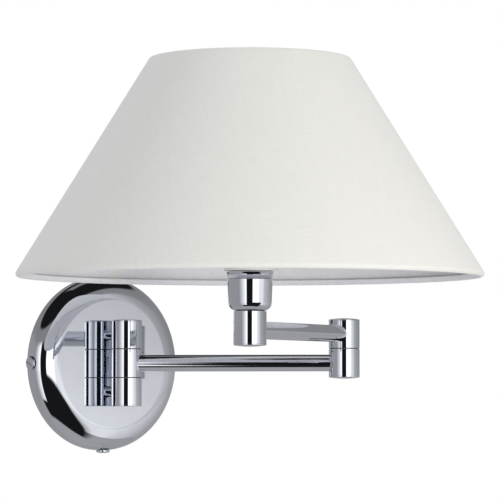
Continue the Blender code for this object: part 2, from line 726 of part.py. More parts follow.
def bulb(head):
    """Opal candle bulb on a small screw cap."""
    cap_profile = [
        (0.0, 51.0 * MM),
        (2.2 * MM, 51.0 * MM),
        (3.4 * MM, 53.0 * MM),
        (BULB_CAP_R, 55.0 * MM),
        (BULB_CAP_R, 74.0 * MM),
        (7.4 * MM, BULB_SEAT),
        (0.0, BULB_SEAT),
    ]
    turned("bulb_cap", cap_profile, head, "zinc", steps=SMALL_STEPS)
    start = BULB_SEAT + GAP
    belly = start + BULB_BELLY
    lower = arc((0.0, belly), 1.0, -90, 0, 8)
    profile = [(0.0, start), (BULB_NECK_R, start)]
    for x, z in lower[2:]:
        radius = BULB_NECK_R + (BULB_R - BULB_NECK_R) * math.sin(math.radians(90) * x)
        profile.append((radius, belly + (belly - start) * (z - belly)))
    tip = BULB_TOP - belly
    for k in range(1, 8):
        t = k / 8
        profile.append((BULB_R * (1 - t**1.9) ** 0.75, belly + tip * t))
    profile.append((0.0, BULB_TOP))
    turned("bulb_glass", profile, head, "opal_glass", steps=SMALL_STEPS)


# ---- shade -------------------------------------------------------------------------------------
def slope_normal():
    """Outward unit normal of the shade's side in the (radius, height) plane."""
    across = Vector((SHADE_TOP_Z - SHADE_BOTTOM_Z, SHADE_BOTTOM_R - SHADE_TOP_R))
    return across.normalized()


def shade_profile():
    """The cover's section: a straight side whose edges are rolled round the two wires."""
    lean = math.degrees(math.atan2(slope_normal().y, slope_normal().x))
    bottom = (SHADE_BOTTOM_R, SHADE_BOTTOM_Z)
    top = (SHADE_TOP_R, SHADE_TOP_Z)
    low_channel = BOTTOM_WIRE_R + WIRE_GAP
    top_channel = TOP_WIRE_R + WIRE_GAP
    outer_low = arc(bottom, low_channel + SHADE_T, -255, lean, 8)
    outer_top = arc(top, top_channel + SHADE_T, lean, 180, 5)
    inner_top = arc(top, top_channel, 180, lean, 4)
    inner_low = arc(bottom, low_channel, lean, -255, 7)
    return outer_low + outer_top + inner_top + inner_low


def torus_profile(radius, height, wire, count=6):
    return arc((radius, height), wire, 0, 360 * (count - 1) / count, count)


FITTER_INNER_R = HOLDER_SLEEVE_R + 0.4 * MM
FITTER_OUTER_R = 16.5 * MM
FITTER_LOW = COLLAR_TOP + 0.6 * MM
FITTER_HIGH = FITTER_LOW + 1.6 * MM
SPOKE_R = 1.0 * MM
RING_NUT_R = 15.3 * MM
RING_NUT_H = 4.0 * MM


def shade(head, spokes_from_deg):
    turned("shade_cover", shade_profile(), head, "fabric", steps=SHADE_STEPS)
    bottom_wire = torus_profile(SHADE_BOTTOM_R, SHADE_BOTTOM_Z, BOTTOM_WIRE_R)
    turned("shade_bottom_wire", bottom_wire, head, "white_wire", steps=SHADE_STEPS)
    top_wire = torus_profile(SHADE_TOP_R, SHADE_TOP_Z, TOP_WIRE_R)
    turned("shade_top_wire", top_wire, head, "white_wire", steps=SHADE_STEPS)
    fitter = ring_profile(FITTER_INNER_R, FITTER_OUTER_R, FITTER_LOW, FITTER_HIGH)
    turned("shade_fitter_ring", fitter, head, "white_wire")
    foot = Vector((FITTER_OUTER_R + SPOKE_R + 0.5 * MM, 0.0, FITTER_LOW + 0.7 * MM))
    along = Vector((SHADE_TOP_R, 0.0, SHADE_TOP_Z)) - foot
    length = along.length - TOP_WIRE_R - 0.45 * MM
    for k in range(3):
        turn = Matrix.Rotation(math.radians(spokes_from_deg + 120 * k), 4, "Z")
        rod = disc_profile(SPOKE_R, 0.0, length)
        spoke = turned(f"shade_spoke_{k + 1}", rod, head, "white_wire", steps=8)
        lean = along.to_track_quat("Z", "Y").to_matrix().to_4x4()
        spoke.matrix_local = turn @ Matrix.Translation(foot) @ lean
    nut_low = FITTER_HIGH + GAP
    nut = [
        (FITTER_INNER_R, nut_low),
        (RING_NUT_R, nut_low),
        (RING_NUT_R, nut_low + RING_NUT_H),
        (FITTER_INNER_R, nut_low + RING_NUT_H),
    ]
    turned("shade_ring_nut", nut, head, "porcelain")


# ---- assembly ----------------------------------------------------------------------------------
def build():
    for old in list(bpy.data.objects):
        bpy.data.objects.remove(old, do_unlink=True)
    base = add_empty("wall_frame", None, (0, 0, 0))
    wall_axis = add_empty("wall_axis", base, (0, -STANDOFF, 0))
    swing = add_empty("wall_swing_axis", wall_axis, (0, 0, 0), -ARM_1_ANGLE)
    forearm = add_empty("elbow_swing_axis", swing, (ARM_LENGTH, 0, 0), -ELBOW_FOLD)
    head = add_empty("lamp_axis", forearm, (ARM_LENGTH, 0, 0))

    wall_bracket(base)
    backplate(base)
    side_screws(base)
    stems(base)
    plate_fittings(base)
    wall_knuckle(wall_axis, swing)
    arm_tube("arm_1_tube", swing, 0.0)
    elbow_knuckle(swing, forearm)
    arm_tube("arm_2_tube", forearm, PITCH)
    arm_leads(swing, forearm)
    neck(head)
    cup(head)
    lampholder(head)
    bulb(head)
    shade(head, 90.0 + ARM_1_ANGLE + ELBOW_FOLD)


build()
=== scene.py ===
"""Looks of the swing arm wall lamp: polished chrome plate, knuckles, arms and cup, and a white fabric shade.

Metres, in the CAD's own frame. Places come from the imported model: a turned piece is measured about its own
axis, and its finer outline is built inside the same limits, give or take a hairline, with real edge radii.
"""

import json
import math

import bmesh
import bpy
from mathutils import Matrix, Vector


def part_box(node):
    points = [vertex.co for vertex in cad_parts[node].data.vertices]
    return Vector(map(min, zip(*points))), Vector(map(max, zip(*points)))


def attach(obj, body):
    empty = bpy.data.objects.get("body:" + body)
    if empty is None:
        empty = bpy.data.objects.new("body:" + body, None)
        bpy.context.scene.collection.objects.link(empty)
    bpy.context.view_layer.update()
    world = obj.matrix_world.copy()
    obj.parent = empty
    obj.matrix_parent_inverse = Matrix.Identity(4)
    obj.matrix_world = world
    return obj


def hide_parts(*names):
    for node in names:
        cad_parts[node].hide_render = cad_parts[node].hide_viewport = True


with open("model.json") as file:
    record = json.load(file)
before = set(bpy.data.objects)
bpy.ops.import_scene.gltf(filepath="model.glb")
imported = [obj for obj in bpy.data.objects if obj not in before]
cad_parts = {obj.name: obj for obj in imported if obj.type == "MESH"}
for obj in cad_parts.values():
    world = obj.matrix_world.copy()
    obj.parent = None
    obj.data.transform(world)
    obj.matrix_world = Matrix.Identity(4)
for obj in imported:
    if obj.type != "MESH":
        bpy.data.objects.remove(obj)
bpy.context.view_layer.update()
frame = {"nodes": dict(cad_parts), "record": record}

MM = 0.001
UP = Vector((0.0, 0.0, 1.0))
OUT = Vector((0.0, -1.0, 0.0))  # away from the wall

# ---- places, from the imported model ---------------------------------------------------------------
HINGES = {joint["name"]: Vector(joint["pos_m"]) for joint in frame["record"]["behaviour"]["joints"]}
WALL_AXIS = HINGES["wall_swing"]
ELBOW_AXIS = HINGES["elbow_swing"]


def middle(node):
    low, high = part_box(node)
    return (low + high) / 2


LAMP_AXIS = middle("neck_cap").xy.to_3d()
ARM_1 = (ELBOW_AXIS - WALL_AXIS).normalized()
ARM_2 = (LAMP_AXIS - ELBOW_AXIS).normalized()
ARM_2_LEVEL = middle("arm_2_tube").z


def measure(node, origin, along=UP):
    """(bore radius, outer radius, low, high) of a turned CAD node about an axis."""
    reaches = []
    heights = []
    for corner in frame["nodes"][node].data.vertices:
        offset = corner.co - origin
        height = offset.dot(along)
        heights.append(height)
        reaches.append((offset - height * along).length)
    return min(reaches), max(reaches), min(heights), max(heights)


# ---- camera: aimed at the lamp's axis from the left, a little below the arms ---------------------
CAMERA_AZIMUTH = math.radians(-37.9)
CAMERA_DISTANCE = 1.954
CAMERA_HEIGHT = -0.0212
AIM_HEIGHT = 0.071
SENSOR_WIDTH = 36.0
FOCAL_LENGTH = 219.6
TO_CAMERA = Vector((math.sin(CAMERA_AZIMUTH), -math.cos(CAMERA_AZIMUTH), 0.0))
CAMERA_RIGHT = Vector((math.cos(CAMERA_AZIMUTH), math.sin(CAMERA_AZIMUTH), 0.0))


def make_camera():
    data = bpy.data.cameras.new("camera")
    data.sensor_width = SENSOR_WIDTH
    data.lens = FOCAL_LENGTH
    data.clip_end = 50.0
    camera = bpy.data.objects.new("camera", data)
    bpy.context.scene.collection.objects.link(camera)
    camera.location = LAMP_AXIS + TO_CAMERA * CAMERA_DISTANCE + UP * CAMERA_HEIGHT
    aim = LAMP_AXIS + UP * AIM_HEIGHT - camera.location
    camera.rotation_euler = aim.to_track_quat("-Z", "Y").to_euler()
    bpy.context.scene.camera = camera


# ---- node helpers --------------------------------------------------------------------------------
def add_node(tree, kind, inputs=None, **settings):
    made = tree.nodes.new(kind)
    for key, value in settings.items():
        setattr(made, key, value)
    for key, value in (inputs or {}).items():
        if isinstance(value, bpy.types.NodeSocket):
            tree.links.new(value, made.inputs[key])
        else:
            made.inputs[key].default_value = value
    return made


def maths(tree, operation, first, second=0.0, third=0.0):
    made = add_node(tree, "ShaderNodeMath", {0: first, 1: second, 2: third}, operation=operation)
    return made.outputs[0]


def mix_shaders(tree, factor, first, second):
    return add_node(tree, "ShaderNodeMixShader", {0: factor, 1: first, 2: second}).outputs[0]


def ramp(tree, factor, stops):
    """stops are (position, grey level or colour)."""
    made = add_node(tree, "ShaderNodeValToRGB", {"Fac": factor})
    elements = made.color_ramp.elements
    while len(elements) < len(stops):
        elements.new(1.0)
    for element, (position, value) in zip(elements, stops):
        colour = value if isinstance(value, tuple) else (value, value, value)
        element.position = position
        element.color = (*colour, 1.0)
    return made.outputs["Color"]


def spread(tree, factor, low, high):
    """Maps 0..1 to low..high."""
    return maths(tree, "MULTIPLY_ADD", factor, high - low, low)


def noise(tree, coordinates, scale, detail=2.0, stretch=None):
    where = coordinates
    if stretch:
        where = add_node(tree, "ShaderNodeMapping", {"Vector": coordinates, "Scale": stretch}).outputs[0]
    made = add_node(tree, "ShaderNodeTexNoise", {"Vector": where, "Scale": scale, "Detail": detail})
    return made.outputs["Fac"]


def new_material(name, uv=False):
    """An empty Principled material: (material, tree, shader, coordinates in metres)."""
    made = bpy.data.materials.new(name)
    made.use_nodes = True
    tree = made.node_tree
    shader = tree.nodes["Principled BSDF"]
    place = add_node(tree, "ShaderNodeTexCoord")
    return made, tree, shader, place.outputs["UV" if uv else "Object"]


def colour_by(tree, shader, pattern, dark, light, socket="Base Color"):
    """A pattern's low parts take the dark colour and its high parts the light one."""
    colour = ramp(tree, pattern, [(0.30, dark), (0.70, light)])
    tree.links.new(colour, shader.inputs[socket])


def roughness_by(tree, shader, pattern, smooth, rough):
    tree.links.new(spread(tree, pattern, smooth, rough), shader.inputs["Roughness"])


def add_bump(tree, shader, height, distance, strength=1.0):
    bump = add_node(tree, "ShaderNodeBump", {"Height": height, "Distance": distance, "Strength": strength})
    tree.links.new(bump.outputs["Normal"], shader.inputs["Normal"])


def set_up(shader, **values):
    for key, value in values.items():
        shader.inputs[key.replace("_", " ")].default_value = value


# ---- materials -----------------------------------------------------------------------------------
def chrome():
    """Bright plate: almost a mirror, with a faint cloudiness and hairline polishing marks."""
    made, tree, shader, place = new_material("polished_chrome")
    set_up(shader, Metallic=1.0)
    cloud = noise(tree, place, scale=60.0, detail=3.0)
    smear = noise(tree, place, scale=900.0, detail=4.0, stretch=(1.0, 1.0, 0.08))
    colour_by(tree, shader, cloud, dark=(0.735, 0.76, 0.82), light=(0.775, 0.80, 0.86))
    roughness_by(tree, shader, smear, smooth=0.015, rough=0.055)
    add_bump(tree, shader, smear, 0.0015 * MM)
    return made


def zinc():
    """Zinc-plated pressed steel with a soft spangle."""
    made, tree, shader, place = new_material("zinc_plate")
    set_up(shader, Metallic=1.0)
    grains = add_node(tree, "ShaderNodeTexVoronoi", {"Vector": place, "Scale": 420.0})
    cloud = noise(tree, place, scale=150.0, detail=4.0)
    colour_by(tree, shader, grains.outputs["Distance"], dark=(0.50, 0.51, 0.52), light=(0.66, 0.67, 0.67))
    roughness_by(tree, shader, cloud, smooth=0.28, rough=0.46)
    add_bump(tree, shader, cloud, 0.02 * MM)
    return made


def brass():
    """Plain turned brass with tool marks and a little tarnish."""
    made, tree, shader, place = new_material("turned_brass")
    set_up(shader, Metallic=1.0)
    tarnish = noise(tree, place, scale=180.0, detail=4.0)
    marks = noise(tree, place, scale=1500.0, detail=2.0, stretch=(0.2, 0.2, 3.0))
    colour_by(tree, shader, tarnish, dark=(0.55, 0.38, 0.15), light=(0.82, 0.63, 0.31))
    roughness_by(tree, shader, marks, smooth=0.20, rough=0.38)
    add_bump(tree, shader, marks, 0.01 * MM)
    return made


THREAD_PITCH = 0.42 * MM
SLUB_STRETCH = 0.06  # a slub's width as a share of its length


def fabric():
    """Fine plain-weave cloth: two crossed thread directions, with slubs along both."""
    made, tree, shader, place = new_material("shade_fabric", uv=True)
    split = add_node(tree, "ShaderNodeSeparateXYZ", {0: place})
    threads = []
    for axis in ("X", "Y"):
        phase = maths(tree, "MULTIPLY", split.outputs[axis], 2 * math.pi / THREAD_PITCH)
        threads.append(maths(tree, "SINE", phase))
    weave = maths(tree, "MULTIPLY", threads[0], threads[1])
    height = spread(tree, weave, 0.5, 1.0)
    warp = noise(tree, place, scale=700.0, detail=3.0, stretch=(SLUB_STRETCH, 1.0, 1.0))
    weft = noise(tree, place, scale=700.0, detail=3.0, stretch=(1.0, SLUB_STRETCH, 1.0))
    slub = maths(tree, "MULTIPLY_ADD", warp, 0.5, maths(tree, "MULTIPLY", weft, 0.5))
    colour_by(tree, shader, slub, dark=(0.795, 0.805, 0.785), light=(0.845, 0.85, 0.83))
    roughness_by(tree, shader, slub, smooth=0.78, rough=0.95)
    set_up(shader, Sheen_Weight=0.15, Sheen_Roughness=0.6, Specular_IOR_Level=0.2)
    add_bump(tree, shader, maths(tree, "MULTIPLY_ADD", slub, 0.8, height), 0.05 * MM, strength=0.3)
    return made


def liner():
    """White laminated liner, faintly mottled. Its emission is a painted glow that stands in for daylight
    coming through the cloth.
    """
    made, tree, shader, place = new_material("shade_liner")
    mottle = noise(tree, place, scale=300.0, detail=4.0)
    colour_by(tree, shader, mottle, dark=(0.70, 0.70, 0.73), light=(0.75, 0.75, 0.78))
    # painted glow: a faint lilac-white emission, standing in for daylight through the cloth
    colour_by(tree, shader, mottle, (0.84, 0.83, 0.90), (0.93, 0.92, 0.97), "Emission Color")
    roughness_by(tree, shader, mottle, smooth=0.45, rough=0.6)
    set_up(shader, Emission_Strength=0.07)
    add_bump(tree, shader, mottle, 0.04 * MM)
    return made


def white_wire():
    """White powder coat with a fine orange peel."""
    made, tree, shader, place = new_material("powder_coat")
    peel = noise(tree, place, scale=1400.0, detail=2.0)
    colour_by(tree, shader, peel, dark=(0.74, 0.74, 0.72), light=(0.82, 0.82, 0.80))
    roughness_by(tree, shader, peel, smooth=0.35, rough=0.5)
    add_bump(tree, shader, peel, 0.06 * MM)
    return made


def porcelain():
    """Cream porcelain under a clear glaze that pools a little."""
    made, tree, shader, place = new_material("glazed_porcelain")
    pool = noise(tree, place, scale=120.0, detail=3.0)
    colour_by(tree, shader, pool, dark=(0.80, 0.79, 0.74), light=(0.87, 0.86, 0.82))
    roughness_by(tree, shader, pool, smooth=0.12, rough=0.25)
    set_up(shader, Coat_Weight=0.4, Coat_Roughness=0.06)
    add_bump(tree, shader, pool, 0.05 * MM)
    return made


def moulded(name, dark, light, smooth, rough, grain):
    """Moulded plastic or rubber: a fine even grain from the mould."""
    made, tree, shader, place = new_material(name)
    grit = noise(tree, place, scale=grain, detail=3.0)
    colour_by(tree, shader, grit, dark, light)
    roughness_by(tree, shader, grit, smooth, rough)
    add_bump(tree, shader, grit, 0.03 * MM)
    return made


def opal_glass():
    """Milky glass, glossy outside and soft inside."""
    made, tree, shader, place = new_material("opal_glass")
    milk = noise(tree, place, scale=90.0, detail=3.0)
    colour_by(tree, shader, milk, dark=(0.86, 0.86, 0.85), light=(0.93, 0.93, 0.92))
    roughness_by(tree, shader, milk, smooth=0.05, rough=0.12)
    set_up(shader, Subsurface_Weight=0.3, Subsurface_Scale=4 * MM, Coat_Weight=0.5, Coat_Roughness=0.03)
    return made


FINISHES = {
    "chrome": chrome(),
    "zinc": zinc(),
    "brass": brass(),
    "shade_fabric": fabric(),
    "liner": liner(),
    "white_wire": white_wire(),
    "porcelain": porcelain(),
    "nylon": moulded("black_nylon", (0.05, 0.05, 0.055), (0.09, 0.09, 0.095), 0.4, 0.6, 900.0),
    "rubber": moulded("black_rubber", (0.02, 0.02, 0.02), (0.045, 0.045, 0.045), 0.65, 0.85, 1100.0),
    "lead_sheath": moulded("white_sheath", (0.70, 0.70, 0.68), (0.78, 0.78, 0.76), 0.4, 0.55, 800.0),
    "opal_glass": opal_glass(),
}


# ---- turned pieces -------------------------------------------------------------------------------
def filleted(corners, steps=6):
    """Rounds the corners of an outline. Each corner is (radius, height, fillet); it runs anticlockwise."""
    points = []
    count = len(corners)
    for k, (x, z, fillet) in enumerate(corners):
        corner = Vector((x, z))
        if fillet == 0.0:
            points.append(corner)
            continue
        before = Vector(corners[k - 1][:2]) - corner
        after = Vector(corners[(k + 1) % count][:2]) - corner
        half = before.angle(after) / 2
        reach = fillet / math.tan(half)
        start = corner + before.normalized() * reach
        end = corner + after.normalized() * reach
        inward = (before.normalized() + after.normalized()).normalized()
        centre = corner + inward * (fillet / math.sin(half))
        for step in range(steps + 1):
            blend = start.lerp(end, step / steps) - centre
            points.append(centre + blend.normalized() * fillet)
    return points


def arc(centre, across, up, start_deg, end_deg, steps):
    """Points of an elliptic arc in the (radius, height) plane."""
    points = []
    for step in range(steps + 1):
        turn = math.radians(start_deg + (end_deg - start_deg) * step / steps)
        points.append(Vector((centre[0] + across * math.cos(turn), centre[1] + up * math.sin(turn))))
    return points


def outline_normals(outline):
    """Outward normals; the longer neighbour counts for more, so that flats stay flat beside their fillets."""
    normals = []
    count = len(outline)
    for k, point in enumerate(outline):
        total = Vector((0.0, 0.0))
        for run in (point - outline[k - 1], outline[(k + 1) % count] - point):
            total += Vector((run.y, -run.x)) * run.length
        if point.x == 0.0:
            total.x = 0.0
        normals.append(total.normalized())
    return normals


def axis_frame(origin, along):
    """Matrix whose local Z runs along an axis through origin."""
    upright = abs(along.z) > 0.9
    side = Vector((1.0, 0.0, 0.0)) if upright else UP
    across = side.cross(along).normalized()
    turn = Matrix((across, along.cross(across), along)).transposed()
    return Matrix.Translation(origin) @ turn.to_4x4()


def link(name, mesh, finish, body, nodes):
    """Makes a mesh a piece that rides on a body, stands for CAD nodes and has a material slot."""
    made = bpy.data.objects.new(name, mesh)
    bpy.context.scene.collection.objects.link(made)
    mesh.materials.append(FINISHES[finish])
    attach(made, body)
    if nodes:
        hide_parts(*nodes)
    return made


def on_circle(point, turn):
    """An outline's (radius, height) point, turned about the local Z axis."""
    return Vector((point.x * math.cos(turn), point.x * math.sin(turn), point.y))


def lathe_mesh(name, outline, place, steps, shift=None, uv=None):
    """Turns a closed outline about the local Z axis. shift(turn, point) says how far a point moves along its
    normal, and uv(turn, point) where it lies on the flat cloth."""
    outline = [Vector(point) for point in outline]
    normals = outline_normals(outline)
    builder = bmesh.new()
    rings = []
    shading = []
    for point, normal in zip(outline, normals):
        ring = []
        for k in range(1 if point.x == 0.0 else steps):
            turn = 2 * math.pi * k / steps
            moved = point + normal * (shift(turn, point) if shift else 0.0)
            ring.append(builder.verts.new(place @ on_circle(moved, turn)))
            shading.append(on_circle(normal, turn))
        rings.append(ring)
    layer = builder.loops.layers.uv.new("cloth") if uv else None
    count = len(outline)
    for low in range(count):
        high = (low + 1) % count
        for k in range(steps):
            spots = [(low, k), (low, k + 1), (high, k + 1), (high, k)]
            corners = []
            for row, column in spots:
                vert = rings[row][column % len(rings[row])]
                if vert not in [item[0] for item in corners]:
                    corners.append((vert, row, column))
            if len(corners) < 3:
                continue
            face = builder.faces.new([item[0] for item in corners])
            face.smooth = True
            if uv:
                for loop, (_, row, column) in zip(face.loops, corners):
                    loop[layer].uv = uv(2 * math.pi * column / steps, outline[row])
    mesh = bpy.data.meshes.new(name)
    builder.to_mesh(mesh)
    builder.free()
    if not shift:
        turn = place.to_3x3()
        mesh.normals_split_custom_set_from_vertices([turn @ normal for normal in shading])
    return mesh


def lathe(name, outline, finish, body, nodes, origin, along=UP, steps=128, shift=None):
    """A turned piece that rides on a body and stands for CAD nodes."""
    mesh = lathe_mesh(name, outline, axis_frame(origin, along), steps, shift)
    link(name, mesh, finish, body, nodes)


EDGE = 0.22 * MM  # the usual polished edge radius


def ring_outline(bore, radius, low, high, edge=EDGE):
    return filleted([(bore, low, edge), (radius, low, edge), (radius, high, edge), (bore, high, edge)])


def turned_ring(node, finish, body, origin, along=UP, edge=EDGE, steps=128, grow=0.0):
    """A plain ring or tube node, rebuilt with rounded edges. grow lengthens it towards its neighbours."""
    bore, radius, low, high = measure(node, origin, along)
    outline = ring_outline(bore, radius, low - grow, high + grow, edge)
    lathe(f"{node}_turned", outline, finish, body, [node], origin, along, steps)


# ---- wall plate ----------------------------------------------------------------------------------
PLATE_WALL = 1.2 * MM
PLATE_LIP = 0.35 * MM  # edge radius of the rim at the wall
SHOULDER_ACROSS = 16.5 * MM
SHOULDER_DEEP = 11.5 * MM


def backplate():
    """The plate's pressed shell: a flat face, an elliptic shoulder and a rim on the wall."""
    _, radius, low, high = measure("backplate", Vector(), OUT)
    across = radius - SHOULDER_ACROSS
    level = high - SHOULDER_DEEP
    back = high - PLATE_WALL
    rim = filleted([
        (radius - PLATE_WALL, low, PLATE_LIP),
        (radius, low, PLATE_LIP),
        (radius, level, 0.0),
        (across, high, 0.0),
    ])[:-2]
    outer = arc((across, level), SHOULDER_ACROSS, SHOULDER_DEEP, 0, 90, 40)
    face = [Vector(point) for point in ((across / 2, high), (0.0, high), (0.0, back), (across / 2, back))]
    inner = arc((across, level), SHOULDER_ACROSS - PLATE_WALL, SHOULDER_DEEP - PLATE_WALL, 90, 0, 24)
    outline = rim + outer + face + inner
    lathe("backplate_pressing", outline, "chrome", "wall_base", ["backplate"], Vector(), OUT, 256)


SCREW_SHANK_R = 2.0 * MM
SCREW_SEAT_GAP = 0.3 * MM  # between the plate's side and the head
SCREW_RIM = 0.35 * MM  # height of the head's straight side
SCREW_EDGE = 0.15 * MM
SCREW_SLOT_WIDTH = 1.1 * MM
SCREW_SLOT_DEPTH = 0.9 * MM
SCREW_SLOT_LENGTH = 19.6 * MM  # the cutter reaches past the head at both ends
FIRST_SLOT_TURN = 32  # degrees
NEXT_SLOT_TURN = 17
SCREW_SHARP = 35  # degrees; faces that meet at more than this are shaded as an edge


def screw_blank(node, radius, low, high):
    """A screw before its slot is cut: a short shank, a head with a straight rim, and a dome."""
    seat = measure("backplate", Vector(), OUT)[1] + SCREW_SEAT_GAP
    rim = seat + SCREW_RIM
    outline = filleted([
        (0.0, low, 0.0),
        (SCREW_SHANK_R, low, 2 * SCREW_EDGE),
        (SCREW_SHANK_R, seat, SCREW_EDGE),
        (radius, seat, SCREW_EDGE),
        (radius, rim, 0.8 * SCREW_EDGE),
    ], 4)
    dome = arc((0.0, rim), radius, high - rim, 10, 90, 10)
    dome[-1].x = 0.0
    mesh = lathe_mesh(node, outline + dome, Matrix.Identity(4), 96)
    blank = bpy.data.objects.new(f"{node}_blank", mesh)
    bpy.context.scene.collection.objects.link(blank)
    return blank


def slot_cutter(node, turn, top):
    """A bar across the head, as wide as the slot, whose lower half is the slot."""
    builder = bmesh.new()
    bmesh.ops.create_cube(builder, size=1.0)
    size = Matrix.Diagonal((SCREW_SLOT_WIDTH, SCREW_SLOT_LENGTH, 2 * SCREW_SLOT_DEPTH, 1.0))
    builder.transform(Matrix.Rotation(turn, 4, "Z") @ size)
    builder.transform(Matrix.Translation((0.0, 0.0, top)))
    mesh = bpy.data.meshes.new(f"{node}_slot")
    builder.to_mesh(mesh)
    builder.free()
    cutter = bpy.data.objects.new(f"{node}_slot", mesh)
    bpy.context.scene.collection.objects.link(cutter)
    return cutter


def soften_edges(made, width, sharper_than):
    """Bevels the edges whose faces meet at more than an angle in degrees."""
    bevel = made.modifiers.new("edge", "BEVEL")
    bevel.width = width
    bevel.segments = 2
    bevel.limit_method = "ANGLE"
    bevel.angle_limit = math.radians(sharper_than)


def side_screws():
    """Four slotted screws in the plate's side, each at its own stopped angle."""
    plate_middle = Vector((0.0, middle("side_screw_top").y, 0.0))
    for k, place in enumerate(("right", "bottom", "left", "top")):
        node = f"side_screw_{place}"
        along = (middle(node) - plate_middle).normalized()
        _, radius, low, high = measure(node, plate_middle, along)
        blank = screw_blank(node, radius, low, high)
        cutter = slot_cutter(node, math.radians(FIRST_SLOT_TURN + NEXT_SLOT_TURN * k), high)
        cut = blank.modifiers.new("slot", "BOOLEAN")
        cut.operation = "DIFFERENCE"
        cut.object = cutter
        soften_edges(blank, 0.08 * MM, sharper_than=40)
        bpy.context.view_layer.update()
        graph = bpy.context.evaluated_depsgraph_get()
        mesh = bpy.data.meshes.new_from_object(blank.evaluated_get(graph))
        mesh.transform(axis_frame(plate_middle, along))
        mesh.materials.clear()
        mesh.shade_smooth()
        mesh.set_sharp_from_angle(angle=math.radians(SCREW_SHARP))
        bpy.data.objects.remove(blank)
        bpy.data.objects.remove(cutter)
        link(f"{node}_slotted", mesh, "chrome", "wall_base", [node])


def stems():
    """The two short tubes that carry the wall knuckle."""
    for label in ("lower", "upper"):
        level = Vector((0.0, 0.0, middle(f"stem_{label}").z))
        turned_ring(f"stem_{label}", "chrome", "wall_base", level, OUT, steps=64)


# ---- knuckles and arms ---------------------------------------------------------------------------
SEAM_CLOSE = 0.12 * MM  # the sections grow this much into the clearances, which leaves hairlines
SEAM_EDGE = 0.08 * MM
CAP_RIM = 0.95 * MM
CAP_CROWN = 0.9 * MM
CAP_SOFT = 0.45 * MM  # radius between a cap's side and its crown
CAP_SOFT_DROP = 0.85 * CAP_SOFT  # how far that radius's centre lies below the crown's foot
CAP_DOME_SHARE = 0.93  # of the crown's reach; the soft edge takes the rest
CAP_FOOT_EDGE = 0.04 * MM
SPIGOT_R = 3.4 * MM
SPIGOT_SEEN = 2.0 * MM
SPIGOT_EDGE = 0.2 * MM
TUBE_EDGE = 0.3 * MM


def crowned_side(radius, foot, top):
    """A cap's outer side from foot up to its crown's peak: soft edge, then a shallow sphere."""
    sphere = (radius**2 + CAP_CROWN**2) / (2 * CAP_CROWN)
    limit = math.degrees(math.asin(radius / sphere))
    soft_middle = (radius - CAP_SOFT, top - CAP_CROWN - CAP_SOFT_DROP)
    corners = [(radius, foot, CAP_FOOT_EDGE), (radius, top, 0.0), (0.0, top, 0.0), (0.0, foot, 0.0)]
    side = filleted(corners, 3)[:-3]
    soft = arc(soft_middle, CAP_SOFT, CAP_SOFT, 0, 90 - limit, 8)
    dome = arc((0.0, top - sphere), sphere, sphere, 90 - limit * CAP_DOME_SHARE, 90, 14)
    dome[-1].x = 0.0
    return side + soft + dome


def knuckle_cap(node, body, origin, upward):
    """A turned cap, its spigot inside the pivot and its crown outwards."""
    _, radius, low, high = measure(node, origin)
    top = high if upward else -low
    seat = top - CAP_CROWN - CAP_RIM
    end = seat - SPIGOT_SEEN
    corners = [(0.0, end, 0.0), (SPIGOT_R, end, SPIGOT_EDGE), (SPIGOT_R, seat, 0.0), (0.0, seat, 0.0)]
    spigot = filleted(corners, 4)[:-1]
    along = UP if upward else -UP
    outline = spigot + crowned_side(radius, seat, top)
    lathe(f"{node}_turned", outline, "chrome", body, [node], origin.xy.to_3d(), along)


def neck_cap():
    """The cap under the neck; it has no pivot inside, so it needs no spigot."""
    _, radius, low, _ = measure("neck_cap", LAMP_AXIS)
    seat = -low - CAP_CROWN - CAP_RIM
    outline = [Vector((0.0, seat))] + crowned_side(radius, seat, -low)
    lathe("neck_cap_turned", outline, "chrome", "arm_2", ["neck_cap"], LAMP_AXIS, -UP)


def knuckle_section(node, body, origin):
    turned_ring(node, "chrome", body, origin, edge=SEAM_EDGE, grow=SEAM_CLOSE)


def knuckles():
    knuckle_section("wall_knuckle_top", "wall_base", WALL_AXIS)
    knuckle_section("wall_knuckle_middle", "arm_1", WALL_AXIS)
    knuckle_section("wall_knuckle_bottom", "wall_base", WALL_AXIS)
    knuckle_cap("wall_knuckle_cap_top", "wall_base", WALL_AXIS, True)
    knuckle_cap("wall_knuckle_cap_bottom", "wall_base", WALL_AXIS, False)
    knuckle_section("elbow_lower", "arm_1", ELBOW_AXIS)
    knuckle_section("elbow_upper", "arm_2", ELBOW_AXIS)
    knuckle_cap("elbow_cap_bottom", "arm_1", ELBOW_AXIS, False)
    knuckle_cap("elbow_cap_top", "arm_2", ELBOW_AXIS, True)
    knuckle_section("neck", "arm_2", LAMP_AXIS)
    neck_cap()


def arms():
    turned_ring("arm_1_tube", "chrome", "arm_1", WALL_AXIS, ARM_1, TUBE_EDGE)
    turned_ring("arm_2_tube", "chrome", "arm_2", ELBOW_AXIS + UP * ARM_2_LEVEL, ARM_2, TUBE_EDGE)


# ---- cup, collar and lampholder ------------------------------------------------------------------
CUP_WALL = 1.0 * MM
CUP_ROUND = 5.5 * MM
CUP_TAPER = 0.55 * MM  # the wall is this much narrower at its foot
COLLAR_GAP = 0.3 * MM  # between the collar and the cup, above and inside
COLLAR_NECK = 2.6 * MM  # height at which the collar starts to flare
COLLAR_FLARE_ROUND = 1.5 * MM
COLLAR_RIM = 0.4 * MM
COLLAR_EDGE = 0.15 * MM
COLLAR_INNER_EDGE = 0.1 * MM


